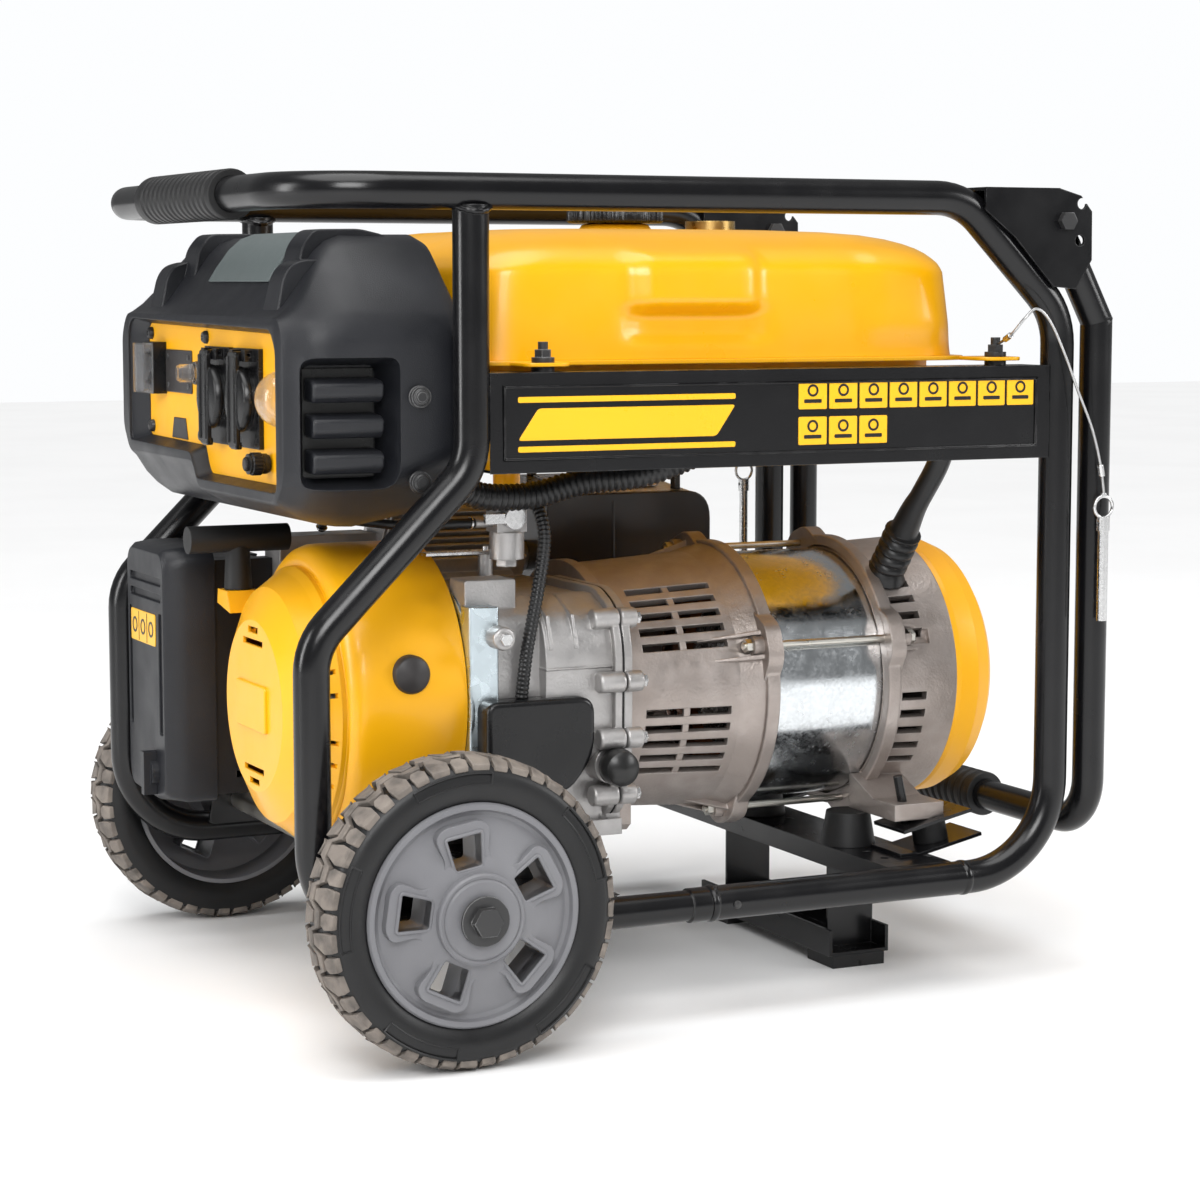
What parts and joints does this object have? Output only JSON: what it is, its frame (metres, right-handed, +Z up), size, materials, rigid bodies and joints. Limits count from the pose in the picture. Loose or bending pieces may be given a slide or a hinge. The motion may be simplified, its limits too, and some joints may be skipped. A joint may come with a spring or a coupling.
{
  "type": "portable generator",
  "caption": "Open-frame petrol generator with tank, control box, alternator, folding pull handle and wheels.",
  "frame": {"origin": "on the floor under the centre of the machine's bounding box", "axes": "+X along the crankshaft from the starter to the alternator end, -Y is the side with the label beam, +Z up"},
  "size_m": [0.75, 0.696, 0.68],
  "materials": {
    "black_paint": "satin powder coat",
    "rubber": "matt",
    "zinc_steel": "bright zinc plate",
    "black_fasteners": "black oxide",
    "yellow_paint": "gloss powder coat",
    "yellow_plastic": "gloss",
    "gauge_brass": "satin",
    "cast_aluminium": "as cast, painted silver grey",
    "grey_plastic": "fine grain",
    "black_plastic": "fine grain",
    "clear_plastic": "clear polycarbonate",
    "winding": "varnished",
    "tyre": "moulded, dusty tread",
    "rim_plastic": "satin"
  },
  "bodies": {
    "frame": {"main_tube": "black_paint", "front_legs": "black_paint", "side_beams": "black_paint", "cross_beams": "black_paint", "corner_brackets": "black_paint", "foot_pads": "rubber", "front_grip": "rubber", "axle": "zinc_steel", "black_bolts": "black_fasteners", "rubber_mounts": "rubber", "mount_plates": "black_paint", "fuel_tank": "yellow_paint", "fuel_gauge": "gauge_brass", "fuel_tap": "cast_aluminium", "control_box": "grey_plastic", "control_panel": "yellow_plastic", "breaker_block": "black_plastic", "clear_covers": "clear_plastic", "socket_bodies": "black_plastic", "ground_terminal": "black_plastic", "engine_block": "cast_aluminium", "cylinder_head": "cast_aluminium", "recoil_cover": "yellow_paint", "fan_shroud": "yellow_paint", "filter_case": "grey_plastic", "filter_cover": "grey_plastic", "carburettor": "cast_aluminium", "muffler": "zinc_steel", "muffler_shield": "black_paint", "oil_sensor_cover": "black_plastic", "adapter": "cast_aluminium", "stator_shell": "zinc_steel", "stator_core": "winding", "end_bell": "cast_aluminium", "end_cap": "yellow_plastic", "through_bolts": "zinc_steel", "conduits": "rubber", "alternator_lead": "rubber", "lanyard_near": "zinc_steel", "lanyard_far": "zinc_steel", "lock_pin_near": "zinc_steel", "lock_pin_far": "zinc_steel"},
    "fuel_cap": {"fuel_cap": "black_plastic"},
    "tap_lever": {"tap_lever": "black_fasteners"},
    "breaker_toggle": {"breaker_toggle": "black_plastic"},
    "reset_button": {"reset_button": "clear_plastic"},
    "socket_lid_1": {"socket_lid_1": "black_plastic"},
    "socket_lid_2": {"socket_lid_2": "black_plastic"},
    "filter_knob": {"filter_knob": "grey_plastic"},
    "dipstick": {"dipstick": "black_plastic"},
    "throttle_lever": {"throttle_lever": "zinc_steel"},
    "recoil_grip": {"recoil_grip": "rubber"},
    "rotor": {"rotor": "zinc_steel", "flywheel": "cast_aluminium"},
    "wheel_near": {"tyre_near": "tyre", "rim_near": "rim_plastic"},
    "wheel_far": {"tyre_far": "tyre", "rim_far": "rim_plastic"},
    "handle": {"handle_tube": "black_paint", "handle_grip": "rubber"}
  },
  "joints": [
    {"name": "wheel_near_spin", "type": "hinge", "parent": "frame", "child": "wheel_near", "pos_m": [-0.245, -0.3, 0.12], "axis": [0, 1, 0], "continuous": true},
    {"name": "wheel_far_spin", "type": "hinge", "parent": "frame", "child": "wheel_far", "pos_m": [-0.245, 0.3, 0.12], "axis": [0, 1, 0], "continuous": true},
    {"name": "rotor_spin", "type": "hinge", "parent": "frame", "child": "rotor", "pos_m": [0, -0.06, 0.25], "axis": [1, 0, 0], "continuous": true},
    {"name": "handle_fold", "type": "hinge", "parent": "frame", "child": "handle", "pos_m": [0.311, 0, 0.642], "axis": [0, -1, 0], "range_deg": [0, 90]},
    {"name": "cap_turn", "type": "hinge", "parent": "frame", "child": "fuel_cap", "pos_m": [0.025, 0, 0.65], "axis": [0, 0, 1], "range_deg": [0, 120]},
    {"name": "tap_turn", "type": "hinge", "parent": "frame", "child": "tap_lever", "pos_m": [-0.144, -0.16, 0.404], "axis": [0, -1, 0], "range_deg": [0, 90]},
    {"name": "breaker_rock", "type": "hinge", "parent": "frame", "child": "breaker_toggle", "pos_m": [-0.35, 0.134, 0.519], "axis": [0, 1, 0], "range_deg": [0, 12]},
    {"name": "reset_press", "type": "slide", "parent": "frame", "child": "reset_button", "axis": [1, 0, 0], "range_m": [0, 0.003], "stiffness_N_per_m": 600},
    {"name": "lid_1_open", "type": "hinge", "parent": "frame", "child": "socket_lid_1", "pos_m": [-0.3505, -0.031, 0.535], "axis": [0, 1, 0], "range_deg": [0, 95], "stiffness_Nm_per_rad": 0.02, "springref_deg": -34.38},
    {"name": "lid_2_open", "type": "hinge", "parent": "frame", "child": "socket_lid_2", "pos_m": [-0.3505, -0.104, 0.535], "axis": [0, 1, 0], "range_deg": [0, 95], "stiffness_Nm_per_rad": 0.02, "springref_deg": -34.38},
    {"name": "filter_knob_turn", "type": "hinge", "parent": "frame", "child": "filter_knob", "pos_m": [-0.35, 0.148, 0.165], "axis": [1, 0, 0], "range_deg": [0, 90]},
    {"name": "dipstick_turn", "type": "hinge", "parent": "frame", "child": "dipstick", "pos_m": [-0.074, -0.21, 0.204], "axis": [0, -1, 0], "range_deg": [0, 360]},
    {"name": "throttle_swing", "type": "hinge", "parent": "frame", "child": "throttle_lever", "pos_m": [-0.15, -0.12, 0.374], "axis": [0, 0, 1], "range_deg": [0, 30]},
    {"name": "cord_pull", "type": "slide", "parent": "frame", "child": "recoil_grip", "axis": [-1, 0, 0], "range_m": [0, 0.6], "stiffness_N_per_m": 15}
  ]
}
